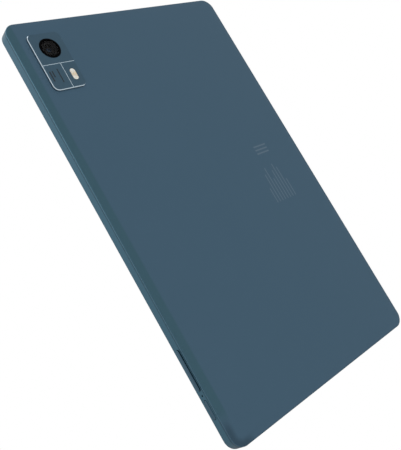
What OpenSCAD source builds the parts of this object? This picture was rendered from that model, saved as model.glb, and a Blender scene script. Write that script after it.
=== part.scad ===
// Tablet computer lying with its screen up.
// +Z points out of the screen, +X along the long side away from the camera end, +Y towards the keys.
// The origin is under the middle of the tablet, level with the lowest face, which is the camera ring.
// Heights in the names that end in _h or _z are measured from the flat of the back, upwards.

/* [Body] */
// Length of the tablet, along X
body_l = 247; // [206:1:297]
// Width of the tablet, along Y
body_w = 157; // [131:1:189]
// Thickness from the flat of the back to the face of the glass
body_t = 7.5; // [7.5:0.1:9]
// Radius of the corners in plan
corner_r = 7.1; // [6.5:0.1:8.5]

/* [Rear cover] */
// Thickness of the rear cover's floor
floor_t = 0.9; // [0.8:0.05:1]
// Height of the rear cover's edge, up to the seam
rim_h = 1.15; // [1.1:0.05:1.2]
// Height of the open seam between rear cover and side frame
seam_h = 0.12; // [0.05:0.01:0.15]
// Depth of the open seam
seam_depth = 0.35; // [0.2:0.05:0.6]
// Width of the sloped border round the back
band_w = 5; // [3:0.1:5.5]
// How far the sloped border has risen at the edge
band_rise = 0.4; // [0.2:0.05:0.5]
// Width and height of the polished chamfer on the edge of the back
edge_chamfer = 0.25; // [0.1:0.05:0.3]
// Height of the lip that guides the rear cover into the side frame
lip_h = 1.3; // [0.8:0.1:1.5]
// Thickness of that lip
lip_t = 0.8; // [0.6:0.1:1]

/* [Side frame] */
// Thickness of the side frame's wall
wall = 1.6; // [1.4:0.05:1.8]
// How far the glass stands proud of the side frame
glass_proud = 0.5; // [0.3:0.05:0.6]
// Width of the rim left outside the glass
glass_inset = 0.6; // [0.5:0.05:0.8]
// Gap between the glass and that rim
glass_gap = 0.08; // [0.05:0.01:0.12]
// How far the shelf under the glass reaches in from the outside
shelf_w = 2.6; // [2.4:0.05:2.8]

/* [Screen] */
// Thickness of the cover glass
glass_t = 0.7; // [0.5:0.05:0.8]
// Width of the rounded edge of the glass
glass_round = 1.1; // [0.6:0.1:1.5]
// Thickness of the adhesive under the glass
glue_t = 0.15; // [0.1:0.01:0.2]
// Distance from the tablet's outline to the display panel
panel_inset = 9.2; // [9:0.1:12]
// Thickness of the display panel
panel_t = 0.6; // [0.5:0.05:0.7]
// Thickness of the backlight
backlight_t = 0.9; // [0.8:0.05:1]
// Thickness of the foam strips under the backlight
foam_t = 0.2; // [0.15:0.01:0.25]
// Thickness of the mid plate
plate_t = 0.4; // [0.3:0.05:0.45]

/* [Camera island] */
// Length of the island, along X
island_l = 35.2; // [30:0.1:42.2]
// Width of the island, along Y
island_w = 20.8; // [18:0.1:25]
// Radius of the island's corners
island_r = 3.3; // [2:0.1:4]
// Height of the island above the back
island_h = 0.9; // [0.6:0.05:1.1]
// Distance from the tablet's short side to the island
island_in_x = 8.5; // [8:0.1:12]
// Distance from the tablet's long side to the island
island_in_y = 9.5; // [8:0.1:12]
// Depth of the island's seat in the rear cover
island_seat = 0.4; // [0.3:0.05:0.5]
// Width of the island's polished chamfer
island_chamfer = 0.35; // [0.2:0.05:0.5]
// Length of the cell that holds the lens
lens_cell = 19.55; // [16:0.05:21]
// Width of the cell that holds the flash
flash_cell = 9.4; // [8:0.1:10]
// Width of the engraved dividing lines
line_w = 0.4; // [0.2:0.05:0.6]
// Depth of the engraved dividing lines
line_depth = 0.12; // [0.05:0.01:0.2]
// Outer radius of the camera ring
ring_r = 6.15; // [5.9:0.05:7.4]
// How far the camera ring stands proud of the island
ring_proud = 0.3; // [0.2:0.05:0.4]
// Length of the flash window
flash_l = 7; // [5:0.1:8.4]
// Width of the flash window
flash_w = 3.3; // [2.8:0.1:3.9]

/* [Keys] */
// Length of the volume rocker
rocker_l = 22.5; // [18:0.1:27]
// Distance from the short side to the near end of the volume rocker
rocker_in = 33.7; // [33.7:0.1:40]
// How far the volume rocker stands proud
rocker_proud = 0.5; // [0.2:0.05:0.6]
// Length of the power key
power_l = 10.3; // [8:0.1:12.3]
// Distance from the short side to the near end of the power key
power_in = 18.3; // [16.5:0.1:18.3]
// How far the power key stands proud
power_proud = 0.15; // [0.1:0.05:0.3]
// Width of both keys
key_w = 2.2; // [1.8:0.1:2.4]
// Height of the middle of both keys above the back
key_h = 3.8; // [3.6:0.1:3.85]
// Gap round each key
key_gap = 0.2; // [0.12:0.01:0.25]
// Travel of the power key
key_travel = 0.3; // [0.2:0.05:0.35]
// Distance from the short side to the upper microphone hole
mic_in = 31.1; // [30.9:0.1:31.3]

/* [Ports] */
// Height of the middle of the ports above the back
port_h = 3.3; // [3.3:0.05:3.35]
// Radius of the headphone jack's bore, for a 3.5 mm plug
jack_r = 1.8; // [1.77:0.01:1.82]
// Length of the headphone jack
jack_l = 14; // [13:0.1:14.5]
// Distance from the long side with the keys to the headphone jack
jack_in = 16.5; // [15:0.1:18]
// Width of the socket's mouth, for a 24 pin reversible plug
usb_w = 8.34; // [8.34:0.01:8.4]
// Height of the socket's mouth
usb_h = 2.56; // [2.56:0.01:2.6]
// Length of the socket
usb_l = 7.35; // [6.5:0.05:8]
// Radius of each speaker hole
speaker_hole_r = 0.65; // [0.4:0.05:0.8]
// Number of holes for each speaker
speaker_holes = 10; // [6:1:11]
// Distance between speaker holes
speaker_pitch = 2.2; // [1.8:0.1:2.2]

/* [Card tray] */
// Length of the tray's frame behind its cap
tray_l = 27; // [26:0.1:28]
// Width of the tray's frame
tray_w = 13.6; // [13.4:0.1:14]
// Thickness of the tray's frame
tray_t = 0.96; // [0.8:0.01:1]
// Width of the tray's cap
cap_w = 16.6; // [16.4:0.1:17.5]
// Height of the tray's cap
cap_h = 2.3; // [2.2:0.1:2.6]
// Depth of the tray's cap
cap_t = 1.5; // [1.2:0.1:1.6]
// Travel of the eject rod
eject_travel = 1.6; // [1:0.1:1.6]

/* [Boards and battery] */
// Thickness of the circuit boards
board_t = 0.8; // [0.6:0.1:0.9]
// Gap between the boards and the mid plate
board_gap = 0.2; // [0.15:0.05:0.25]
// Width of the main board, along X
board_w = 31.5; // [30:0.5:32]
// Distance from the short side to the main board
board_in = 16; // [16:0.1:17]
// Length of each battery cell, along X
cell_l = 60; // [40:0.5:60]
// Width of each battery cell, along Y
cell_w = 104; // [60:1:104]
// Length of each speaker box, along Y
speaker_l = 26; // [24:0.5:26]
// Depth of each speaker box, along X
speaker_d = 11; // [9:0.5:11]
// Distance from the centre line to each speaker box
speaker_in = 18.5; // [18.5:0.1:19]

/* [Hidden] */
$fn = 64;

eps = 0.01;                                  // overshoot of a cut past the face it opens
fit = 0.05;                                  // gap between pieces that are pressed or glued together
loose = 0.1;                                 // gap between a moving piece and its guide
back_z = island_h + ring_proud;              // height of the flat of the back above the ground

// Heights of the stack, from the back upwards
seam_top = rim_h + seam_h;
frame_top = body_t - glass_proud;
glass_z = body_t - glass_t;
shelf_z = glass_z - glue_t;
panel_z = glass_z - panel_t;
backlight_z = panel_z - backlight_t;
plate_z = backlight_z - foam_t - plate_t;
board_z = plate_z - board_gap - board_t;
bay_z = floor_t + 0.25;                      // underside of the battery and the speaker boxes
cable_t = 0.12;                              // thickness of every flat cable
cable_z = board_z - 0.75;                    // height of the cables that run under the main board
connector_t = board_z - cable_z - cable_t;   // height of the plug connectors

// Places in plan
half_l = body_l / 2;
half_w = body_w / 2;
inner_x = half_l - wall;
inner_y = half_w - wall;
island_x0 = -half_l + island_in_x;
island_y1 = half_w - island_in_y;
island_mid = [island_x0 + island_l / 2, island_y1 - island_w / 2];
lens = [island_x0 + lens_cell / 2, island_mid.y];
flash = [island_x0 + (lens_cell + island_l) / 2, island_y1 - island_w + flash_cell / 2];
rocker_x = half_l - rocker_in - rocker_l / 2;
power_x = half_l - power_in - power_l / 2;
mic_x = half_l - mic_in;
flange_x = 0.8;                              // how far a key's flange reaches past its cap
nub_x = 7;                                   // distance of the rocker's nubs from its middle
jack_y = half_w - jack_in;
jack_x = half_l - fit;                       // mouth of the headphone jack
speaker_end = speaker_in + speaker_l;
speaker_y = speaker_in + speaker_l / 2;
nose_r = ring_r - 2.25;                      // nose of the rear camera, inside the camera ring
camera_w = 2 * nose_r + 0.8;                 // side of the rear camera's housing
board_x = -half_l + board_in;
board_y0 = -(speaker_end + 18);
board_y1 = lens.y - camera_w / 2 - 4.4;
port_in = 31.5;                              // distance from the short side to the port board's far end
port_x = half_l - port_in;
port_w = 34;
socket_x = half_l - fit * 6;                 // mouth of the socket, just inside the wall's face
bay_x = (board_x + board_w + port_x) / 2;    // middle of the battery bay
cell_gap = 2;
cell_y0 = -inner_y + 5;
cell_y1 = cell_y0 + cell_w;
cell_top = plate_z - 0.15;
front_cam_y = half_w - 5.4;
front_cam_w = 5.4;
tray_h = board_z - 0.75;                     // height of the middle of the card tray
tray_y = -1.8;                               // middle of the tray's frame
cap_y = -0.7;                                // middle of the tray's cap
tray_x0 = -half_l + loose;
tray_x1 = tray_x0 + cap_t + tray_l;
cage_t = 0.15;
cage_x0 = -inner_x + 0.3;
cage_x1 = tray_x1 - 0.8;                     // the cage ends short of the eject lever
rod_y = tray_y + tray_w / 2 + 1.3;
rod_w = 0.8;
rod_x1 = tray_x1 - 0.6;
lever_arm = 5.3;                             // reach of the lever's arm towards the rod
lever = [tray_x1 + 1.8 + eject_travel, rod_y - lever_arm];   // pivot of the eject lever
lever_drop = 5.2;                            // reach of the lever's arm towards the tray
camera_z = floor_t + fit * 2;                // bottom of the housing's square part
camera_top = board_z + 0.5;
barrel_r = nose_r - 0.8;
barrel_z = 0.05;                             // front of the focusing barrel at rest
screws = [[board_x + 3, board_y0 + 3], [board_x + board_w - 3, board_y0 + 3],
          [board_x + board_w - 3, 14], [board_x + 3, board_y1 - 3], [port_x + 3, -14],
          [port_x + 3, 14]];
screw_r = 0.7;
boss_r = 1.8;

// Screen, cameras and flash
panel_l = body_l - 2 * panel_inset;
panel_w = body_w - 2 * panel_inset;
display_cable_x = -panel_l / 2 - 1.3;        // where the cable passes down through the mid plate
display_cable_w = 10;
display_cable_y = -(speaker_end + 1.5 + display_cable_w);
glass_seat_r = ring_r - 1.25;                // inside of the ring, round the camera glass
camera_glass_t = 0.5;
glass_sunk = 0.25;                           // how far the camera glass lies inside its ring
lamp_w = 1.6;
lamp_z = floor_t + 0.05;
lamp_h = 0.6;
barrel_l = camera_top - 0.9;
lens_mouth = 0.7;                            // depth of the cone in front of the focusing lens
lens_r = 1.5;
camera_cable_x = lens.x + 3;
front_cable_y = front_cam_y - 7.2;
front_cable_x = board_x + 11.5;

// Shield cans and cables
can_t = 0.15;
can_h = 1.3;
can_x = board_x + 6.5;
can_w = 20;
can_low = [can_x, -38];                      // corner of the can beside the display cable
can_low_l = 22;
can_high = [can_x + 4.5, 17.5];              // corner of the can beside the camera
can_high_w = 15;
can_high_l = 14;
battery_cable_y = cell_y1 + 0.8;
battery_cable_w = 5;
link_y = battery_cable_y + battery_cable_w + 1.5;
link_w = 5;
key_cable_y = link_y + link_w + 1.5;
key_cable_w = 4;

// Ports, speakers and keys
shell_t = 0.3;                               // wall of the socket's shell
shell_back = 0.6;                            // back wall of the socket's shell
mesh_t = 0.3;
mesh_h = 2.4;
mic_hole_r = 0.5;
low_mic_y = -12.5;                           // microphone beside the socket
dome_y = inner_y - 2.1;                      // face of the key cable that carries the domes
dome_h = 0.25;
dome_r = 1.3;
contact_h = key_h - 0.4;                     // height of the middle of the domes and their nubs
bracket_t = 0.6;
bracket_x0 = rocker_x - rocker_l / 2 - 1;
bracket_x1 = power_x + power_l / 2 + 1;
rocker_gap_in = 0.5;
power_gap_in = loose;
nub_gap = 0.05;                              // gap left over a dome when its key is fully pressed

// The steps along an outline's corner, from its flat to its upright side
function steps(n) = [for (i = [0 : n]) i / n];

// A slab with round corners in plan, centred, standing on z = 0
module rounded_slab(l, w, r, h) {
    translate([-l / 2 + r, -w / 2, 0]) cube([l - 2 * r, w, h]);
    translate([-l / 2, -w / 2 + r, 0]) cube([l, w - 2 * r, h]);
    for (x = [-1, 1], y = [-1, 1])
        translate([x * (l / 2 - r), y * (w / 2 - r), 0]) cylinder(r = r, h = h);
}

// A profile carried round a rounded rectangle; its points are [distance out from the corner's centre, height]
module swept_ring(l, w, r, profile) {
    for (side = [0 : 3]) {
        run = side % 2 == 0 ? l - 2 * r : w - 2 * r;
        out = side % 2 == 0 ? w / 2 - r : l / 2 - r;
        rotate([0, 0, 90 * side]) {
            translate([-run / 2, out, 0])
                rotate([90, 0, 90]) linear_extrude(run) polygon(profile);
            translate([run / 2, out, 0])
                rotate_extrude(angle = 90) polygon(profile);
        }
    }
}

// The same with its middle filled between two heights
module swept_slab(l, w, r, profile, z0, z1) {
    swept_ring(l, w, r, profile);
    translate([-l / 2 + r, -w / 2 + r, z0]) cube([l - 2 * r, w - 2 * r, z1 - z0]);
}

// A slab with round ends, centred, its length along X, standing on z = 0
module pill(l, w, h) {
    translate([-(l - w) / 2, -w / 2, 0]) cube([l - w, w, h]);
    for (x = [-1, 1]) translate([x * (l - w) / 2, 0, 0]) cylinder(d = w, h = h);
}

// A pill that points out of a side: turn 90 for +Y, 0 for +X, 180 for -X, its flat thickness along Z
module side_pill(turn, l, w, depth) {
    rotate([0, 0, turn]) rotate([90, 0, 90]) pill(l, w, depth);
}

// A box given by its two corners
module block(lo, hi) {
    translate(lo) cube(hi - lo);
}

// A flat cable that follows right-angled points [along, height], w wide across
module ribbon(points, w) {
    for (i = [0 : len(points) - 2]) {
        a = points[i];
        b = points[i + 1];
        lo = [min(a.x, b.x), min(a.y, b.y)];
        hi = [max(a.x, b.x), max(a.y, b.y)];
        translate([lo.x, 0, lo.y]) cube([hi.x - lo.x + cable_t, w, hi.y - lo.y + cable_t]);
    }
}

// A straight bar with round ends between two points in plan
module bar(a, b, w, h) {
    along = b - a;
    translate([a.x, a.y, 0]) rotate([0, 0, atan2(along.y, along.x)])
        translate([0, -w / 2, 0]) cube([norm(along), w, h]);
    for (p = [a, b]) translate([p.x, p.y, 0]) cylinder(d = w, h = h);
}

// Everything is drawn from the flat of the back, then lifted to its height above the ground
module from_back() {
    translate([0, 0, back_z]) children();
}

// The places of the four speakers, with +X out of the side that each one faces
module at_speakers() {
    for (turn = [0, 180], y = [-1, 1])
        rotate([0, 0, turn]) translate([inner_x, y * speaker_y, 0]) children();
}

module rear_cover() {
    r = corner_r;
    slope = [for (s = steps(4)) [r - band_w + (band_w - edge_chamfer) * s, band_rise * s * s]];
    profile = concat([[0, 0]], slope, [[r, band_rise + edge_chamfer], [r, rim_h],
        [r - seam_depth, rim_h], [r - seam_depth, seam_top], [r - wall, seam_top],
        [r - wall, floor_t], [0, floor_t]]);
    lip_out = r - wall - loose;
    color("#435b6b") from_back() difference() {
        union() {
            swept_slab(body_l, body_w, r, profile, 0, floor_t);
            swept_ring(body_l, body_w, r, [[lip_out - lip_t, floor_t], [lip_out, floor_t],
                [lip_out, floor_t + lip_h], [lip_out - lip_t, floor_t + lip_h]]);
        }
        translate([island_mid.x, island_mid.y, -eps])
            rounded_slab(island_l, island_w, island_r, island_seat + eps);
        translate([lens.x, lens.y, -eps]) cylinder(r = ring_r - 0.9, h = floor_t + 2 * eps);
        translate([flash.x, flash.y, -eps])
            pill(flash_l + 2 * fit, flash_w + 2 * fit, floor_t + 2 * eps);
        lip_gaps();
    }
}

// Where the rear cover's lip is left out, beside what stands at the side walls
module lip_gaps() {
    z = floor_t;
    high = lip_h + eps;
    deep = wall + lip_t + 4 * loose;
    translate([rocker_x - rocker_l / 2 - 3, half_w - deep, z])
        cube([power_x - rocker_x + (power_l + rocker_l) / 2 + 6, deep - wall, high]);
    translate([half_l - deep, jack_y - 4, z]) cube([deep - wall, 8, high]);
    for (turn = [0, 180]) rotate([0, 0, turn])
        translate([half_l - deep, -speaker_end - 1, z])
            cube([deep - wall, 2 * speaker_end + 2, high]);
    translate([-front_cam_w, half_w - deep, z]) cube([2 * front_cam_w, deep - wall, high]);
}

module side_frame() {
    r = corner_r;
    soft = 0.2;
    inner_rim = r - glass_inset + glass_gap;
    profile = [[r - wall, seam_top], [r, seam_top], [r, frame_top - soft], [r - soft, frame_top],
        [inner_rim, frame_top], [inner_rim, shelf_z], [r - shelf_w, shelf_z],
        [r - shelf_w, plate_z + plate_t], [r - wall, plate_z + plate_t]];
    color("#4c6c7c") from_back() difference() {
        swept_ring(body_l, body_w, r, profile);
        translate([rocker_x, inner_y - eps, key_h])
            side_pill(90, rocker_l + 2 * key_gap, key_w + 2 * key_gap, wall + 2 * eps);
        translate([power_x, inner_y - eps, key_h])
            side_pill(90, power_l + 2 * key_gap, key_w + 2 * key_gap, wall + 2 * eps);
        translate([mic_x, inner_y - eps, key_h]) rotate([-90, 0, 0])
            cylinder(r = mic_hole_r, h = wall + 2 * eps);
        translate([inner_x - eps, low_mic_y, port_h]) rotate([0, 90, 0])
            cylinder(r = mic_hole_r, h = wall + 2 * eps);
        translate([inner_x - eps, 0, port_h])
            side_pill(0, usb_w + 0.9, usb_h + 0.9, wall + 2 * eps);
        translate([inner_x - eps, jack_y, port_h]) rotate([0, 90, 0])
            cylinder(r = jack_r + 0.13, h = wall + 2 * eps);
        jack_pocket(fit);
        translate([-inner_x + eps, cap_y, tray_h])
            side_pill(180, cap_w + 2 * loose, cap_h + 2 * loose, wall + 2 * eps);
        at_speakers() for (i = [0 : speaker_holes - 1])
            translate([-eps, (i - (speaker_holes - 1) / 2) * speaker_pitch, port_h])
                rotate([0, 90, 0]) cylinder(r = speaker_hole_r, h = wall + 2 * eps);
    }
}

// The room that the headphone jack takes behind the wall, with a gap all round
module jack_pocket(gap) {
    block([jack_x - jack_l - gap, jack_y - 3 - gap, floor_t],
          [inner_x + eps, jack_y + 3 + gap, port_h + jack_r + 0.15 + gap]);
}

module mid_plate() {
    out = wall + fit;
    color("#9aa0a4") from_back() difference() {
        union() {
            translate([0, 0, plate_z])
                rounded_slab(body_l - 2 * out, body_w - 2 * out, corner_r - out, plate_t);
            for (p = screws) translate([p.x, p.y, plate_z - board_gap])
                cylinder(r = boss_r, h = board_gap + eps);
        }
        for (p = screws) translate([p.x, p.y, plate_z - board_gap - eps])
            cylinder(r = screw_r + fit, h = board_gap + plate_t + 2 * eps);
        jack_pocket(2 * loose);
        block([rocker_x - rocker_l / 2 - 3, half_w - 5.2, plate_z - eps],
              [power_x + power_l / 2 + 3, half_w, plate_z + plate_t + eps]);
        block([half_l - usb_l - 1, -usb_w / 2 - 1, plate_z - eps],
              [half_l, usb_w / 2 + 1, plate_z + plate_t + eps]);
        block([-front_cam_w / 2 - 0.3, front_cam_y - front_cam_w / 2 - 0.3, plate_z - eps],
              [front_cam_w / 2 + 0.3, half_w, plate_z + plate_t + eps]);
        block([display_cable_x - 0.3, display_cable_y - 0.5, plate_z - eps],
              [display_cable_x + 0.6, display_cable_y + display_cable_w + 0.5,
               plate_z + plate_t + eps]);
    }
}

module cover_glass() {
    r = corner_r - glass_inset;
    side = 0.25;
    curve = [for (s = steps(5)) [r - glass_round * (1 - cos(90 * s)),
                                 glass_z + side + (glass_t - side) * sin(90 * s)]];
    profile = concat([[0, glass_z], [r, glass_z]], curve, [[0, body_t]]);
    color("#15181b") from_back()
        swept_slab(body_l - 2 * glass_inset, body_w - 2 * glass_inset, r, profile, glass_z, body_t);
}

module glass_adhesive() {
    r = corner_r;
    out = r - glass_inset - fit;
    color("#202020") from_back()
        swept_ring(body_l, body_w, r, [[r - shelf_w, shelf_z], [out, shelf_z],
            [out, glass_z], [r - shelf_w, glass_z]]);
}

module display_panel() {
    color("#0b0d10") from_back() translate([0, 0, panel_z])
        rounded_slab(panel_l, panel_w, 1, panel_t);
}

module backlight() {
    color("#d8dadc") from_back() translate([0, 0, backlight_z])
        rounded_slab(panel_l - 0.6, panel_w - 0.6, 1, backlight_t);
}

module foam_strips() {
    strip = 3;
    clear = 24;
    color("#2b2b2b") from_back() translate([0, 0, plate_z + plate_t]) {
        for (y = [-1, 1]) translate([-panel_l / 2 + clear, y * (panel_w / 2 - 3) - strip / 2, 0])
            cube([panel_l - 2 * clear, strip, foam_t]);
        for (x = [-1, 1]) translate([x * (panel_l / 2 - 3) - strip / 2, -panel_w / 2 + clear, 0])
            cube([strip, panel_w - 2 * clear, foam_t]);
    }
}

module display_cable() {
    color("#b5792d") from_back() translate([0, display_cable_y, 0])
        ribbon([[-panel_l / 2 - cable_t, panel_z + 0.2], [display_cable_x, panel_z + 0.2],
                [display_cable_x, cable_z], [board_x + 6, cable_z]], display_cable_w);
}

module camera_island() {
    r = island_r;
    profile = [[0, -island_h], [r - island_chamfer, -island_h], [r, -island_h + island_chamfer],
               [r, island_seat], [0, island_seat]];
    cut = line_depth + eps;
    color("#3e5462") from_back() difference() {
        translate([island_mid.x, island_mid.y, 0])
            swept_slab(island_l, island_w, r, profile, -island_h, island_seat);
        translate([lens.x, lens.y, -island_h - eps])
            cylinder(r = ring_r + fit, h = island_h + island_seat + 2 * eps);
        translate([flash.x, flash.y, -island_h - eps])
            pill(flash_l + 2 * fit, flash_w + 2 * fit, island_h + island_seat + 2 * eps);
        translate([island_x0 + lens_cell - line_w / 2, island_y1 - island_w - eps, -island_h - eps])
            cube([line_w, island_w + 2 * eps, cut]);
        translate([island_x0 + lens_cell, island_y1 - island_w + flash_cell - line_w / 2,
                   -island_h - eps])
            cube([island_l - lens_cell + eps, line_w, cut]);
    }
}

module camera_ring() {
    z0 = -back_z;
    soft = 0.3;
    seat_z = z0 + glass_sunk + camera_glass_t;
    color("#0a0a0b") from_back() translate([lens.x, lens.y, 0]) rotate_extrude()
        polygon([[glass_seat_r, z0 + soft], [glass_seat_r + soft, z0], [ring_r - soft, z0],
                 [ring_r, z0 + soft], [ring_r, island_seat], [nose_r + 2 * fit, island_seat],
                 [nose_r + 2 * fit, seat_z], [glass_seat_r, seat_z]]);
}

module camera_glass() {
    color("#101214") from_back() translate([lens.x, lens.y, -back_z + glass_sunk])
        cylinder(r = glass_seat_r - fit, h = camera_glass_t);
}

module flash_window() {
    color("#f2e6c8") from_back() translate([flash.x, flash.y, -island_h])
        pill(flash_l, flash_w, island_h + floor_t - 0.2);
}

module flash_lamps() {
    color("#e8c94e") from_back() for (x = [-1, 1])
        translate([flash.x + x * 1.7 - lamp_w / 2, flash.y - lamp_w / 2, lamp_z])
            cube([lamp_w, lamp_w, lamp_h]);
}

module flash_board() {
    color("#1f5a3a") from_back() translate([flash.x - 4, flash.y - 2, lamp_z + lamp_h])
        cube([8, 4, 0.4]);
}

module rear_camera_housing() {
    color("#3a3d40") from_back() translate([lens.x, lens.y, 0]) difference() {
        union() {
            translate([-camera_w / 2, -camera_w / 2, camera_z])
                cube([camera_w, camera_w, camera_top - camera_z]);
            translate([0, 0, -0.1]) cylinder(r = nose_r, h = camera_z + 0.1 + eps);
        }
        translate([0, 0, -0.1 - eps]) cylinder(r = barrel_r + 0.08, h = camera_top - 0.3);
    }
}

module focus_barrel() {
    color("#17181a") from_back() translate([lens.x, lens.y, barrel_z]) difference() {
        cylinder(r = barrel_r, h = barrel_l);
        translate([0, 0, -eps])
            cylinder(r1 = lens_r + lens_mouth, r2 = lens_r, h = lens_mouth + eps);
        translate([0, 0, lens_mouth]) cylinder(r = lens_r, h = barrel_l);
    }
}

module focus_lens() {
    curve_r = 3;
    color("#27324a") from_back() translate([lens.x, lens.y, barrel_z + lens_mouth])
        intersection() {
            cylinder(r = lens_r - fit, h = 1.2);
            translate([0, 0, curve_r]) sphere(r = curve_r);
        }
}

module rear_camera_board() {
    color("#8a5a20") from_back() {
        translate([lens.x - camera_w / 2, lens.y - camera_w / 2, camera_top])
            cube([camera_w, camera_w, 0.4]);
        translate([camera_cable_x, lens.y - camera_w / 2, 0]) rotate([0, 0, -90])
            ribbon([[0, camera_top], [3.2, camera_top], [3.2, cable_z], [9, cable_z]], 5);
    }
}

module front_camera() {
    z0 = board_z - 1.1;
    w = front_cam_w;
    color("#1c1d1f") from_back() translate([0, front_cam_y, 0]) difference() {
        union() {
            translate([-w / 2, -w / 2, z0]) cube([w, w, shelf_z - 0.5 - z0]);
            translate([0, 0, shelf_z - 0.5 - eps]) cylinder(r = 2, h = 0.6);
        }
        translate([0, 0, shelf_z - 0.3]) cylinder(r1 = 0.7, r2 = 1.3, h = 0.5);
    }
}

module front_camera_cable() {
    w = 3;
    x0 = front_cable_x;
    z = cable_z;
    color("#b5792d") from_back() {
        block([x0, front_cable_y, z], [front_cam_w / 2, front_cable_y + w, z + cable_t]);
        block([-1.5, front_cable_y, z], [1.5, front_cam_y - front_cam_w / 2, z + cable_t]);
        block([x0, board_y1 - 4, z], [x0 + 4, front_cable_y + w, z + cable_t]);
    }
}

module main_board() {
    tongue = 18;
    color("#174d33") from_back() difference() {
        union() {
            block([board_x, board_y0, board_z], [board_x + board_w, board_y1, board_z + board_t]);
            block([-inner_x + 0.4, -tongue + 2, board_z],
                  [board_x + eps, tongue - 2, board_z + board_t]);
        }
        for (i = [0 : 3]) translate([screws[i].x, screws[i].y, board_z - eps])
            cylinder(r = screw_r + 0.15, h = board_t + 2 * eps);
    }
}

module main_chips() {
    color("#202124") from_back() {
        translate([can_low.x + 3, can_low.y + 4, board_z - 0.9]) cube([14, 14, 0.9]);
        translate([can_high.x + 3, can_high.y + 2, board_z - 0.8]) cube([9, 10, 0.8]);
    }
}

module can(w, l) {
    difference() {
        cube([w, l, can_h]);
        translate([can_t, can_t, can_t]) cube([w - 2 * can_t, l - 2 * can_t, can_h]);
    }
}

module shield_cans() {
    color("#b9bdc1") from_back() {
        translate([can_low.x, can_low.y, board_z - can_h]) can(can_w, can_low_l);
        translate([can_high.x, can_high.y, board_z - can_h]) can(can_high_w, can_high_l);
    }
}

// One plug connector, on the side of a board that faces the rear cover
module connector(x, y, l, w) {
    translate([x, y, cable_z + cable_t]) cube([l, w, connector_t]);
}

module plug_connectors() {
    edge = board_x + board_w;
    color("#d9d3c3") from_back() {
        connector(board_x + 2, display_cable_y + 0.5, 3, 9);
        connector(edge - 4, battery_cable_y + 0.5, 3, 4);
        connector(edge - 4, link_y + 0.5, 3, 4);
        connector(camera_cable_x + 0.5, board_y1 - 3.2, 4, 2.5);
        connector(front_cable_x + 0.5, board_y1 - 3.7, 3, 2.5);
        connector(port_x + 1, -4.5, 3, 4);
    }
}

module battery_cells() {
    color("#2d3034") from_back() for (side = [0, 1])
        translate([bay_x + (side - 1) * cell_l + (side - 0.5) * cell_gap, cell_y0, bay_z])
            cube([cell_l, cell_w, cell_top - bay_z]);
}

module battery_board() {
    color("#1f5a3a") from_back() translate([bay_x - 20, battery_cable_y, cable_z + cable_t])
        cube([40, battery_cable_w, board_t]);
}

module battery_cable() {
    x0 = board_x + board_w - 5;
    color("#b5792d") from_back()
        block([x0, battery_cable_y, cable_z],
              [bay_x - 12, battery_cable_y + battery_cable_w, cable_z + cable_t]);
}

module battery_adhesive() {
    strip = 12;
    color("#f2f2f2") from_back() for (side = [-1, 1], x = [-1, 1])
        translate([bay_x + side * (cell_l + cell_gap) / 2 + x * cell_l / 4 - strip / 2,
                   cell_y0 + 4, cell_top])
            cube([strip, cell_w - 8, plate_z - cell_top]);
}

module port_board() {
    color("#174d33") from_back() difference() {
        block([port_x, -port_w / 2, board_z], [socket_x - usb_l, port_w / 2, board_z + board_t]);
        for (i = [4, 5]) translate([screws[i].x, screws[i].y, board_z - eps])
            cylinder(r = screw_r + 0.15, h = board_t + 2 * eps);
    }
}

module usb_socket_shell() {
    leg = 1;
    leg_y = 3;
    color("#c9ccd0") from_back() {
        translate([socket_x - usb_l, 0, port_h]) difference() {
            side_pill(0, usb_w + 2 * shell_t, usb_h + 2 * shell_t, usb_l);
            translate([shell_back, 0, 0]) side_pill(0, usb_w, usb_h, usb_l);
        }
        for (side = [-1, 1])
            block([socket_x - usb_l - leg, side * leg_y - leg / 2, port_h],
                  [socket_x - usb_l + eps, side * leg_y + leg / 2, board_z]);
    }
}

module usb_socket_tongue() {
    tongue_w = 6.69;
    tongue_t = 0.7;
    reach = 5.2;
    color("#141414") from_back() translate([socket_x - usb_l + shell_back, 0, port_h]) {
        translate([0, -tongue_w / 2, -tongue_t / 2]) cube([reach, tongue_w, tongue_t]);
        side_pill(0, usb_w - 2 * fit, usb_h - 2 * fit, 0.8);
    }
}

module headphone_jack() {
    color("#1d1e20") from_back() difference() {
        union() {
            block([jack_x - jack_l, jack_y - 3, port_h - jack_r - 0.4],
                  [inner_x - fit, jack_y + 3, port_h + jack_r + 0.15]);
            translate([inner_x - fit - eps, jack_y, port_h]) rotate([0, 90, 0])
                cylinder(r = jack_r + 0.08, h = wall + eps);
        }
        translate([jack_x - jack_l - eps, jack_y, port_h]) rotate([0, 90, 0])
            cylinder(r = jack_r, h = jack_l + 4 * eps);
    }
}

module jack_contacts() {
    color("#c8a24a") from_back() for (i = [0 : 3])
        translate([jack_x - jack_l + 1.5 + 2.6 * i, jack_y + 3 + fit, port_h - 1])
            cube([1, 0.25, 2]);
}

module link_cable() {
    up_x = port_x - 12;
    w = link_w;
    color("#b5792d") from_back() {
        block([up_x, -5, cable_z], [port_x + 5, -5 + w, cable_z + cable_t]);
        block([up_x, -5, cable_z], [up_x + w, link_y + w, cable_z + cable_t]);
        block([board_x + board_w - 5, link_y, cable_z], [up_x + w, link_y + w, cable_z + cable_t]);
    }
}

module speaker_boxes() {
    color("#26282b") from_back() at_speakers() difference() {
        block([-mesh_t - 3 * fit - speaker_d, -speaker_l / 2, bay_z],
              [-mesh_t - 2 * fit, speaker_l / 2, cell_top]);
        translate([-mesh_t - 2 * fit - 3, -speaker_l / 2 + 1.5, port_h - 0.9])
            cube([3 + eps, speaker_l - 3, 1.8]);
        translate([-mesh_t - speaker_d / 2 - 1.2, 0, bay_z - eps]) rotate([0, 0, 90])
            pill(speaker_l - 7, speaker_d - 4, 0.8 + eps);
    }
}

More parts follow.
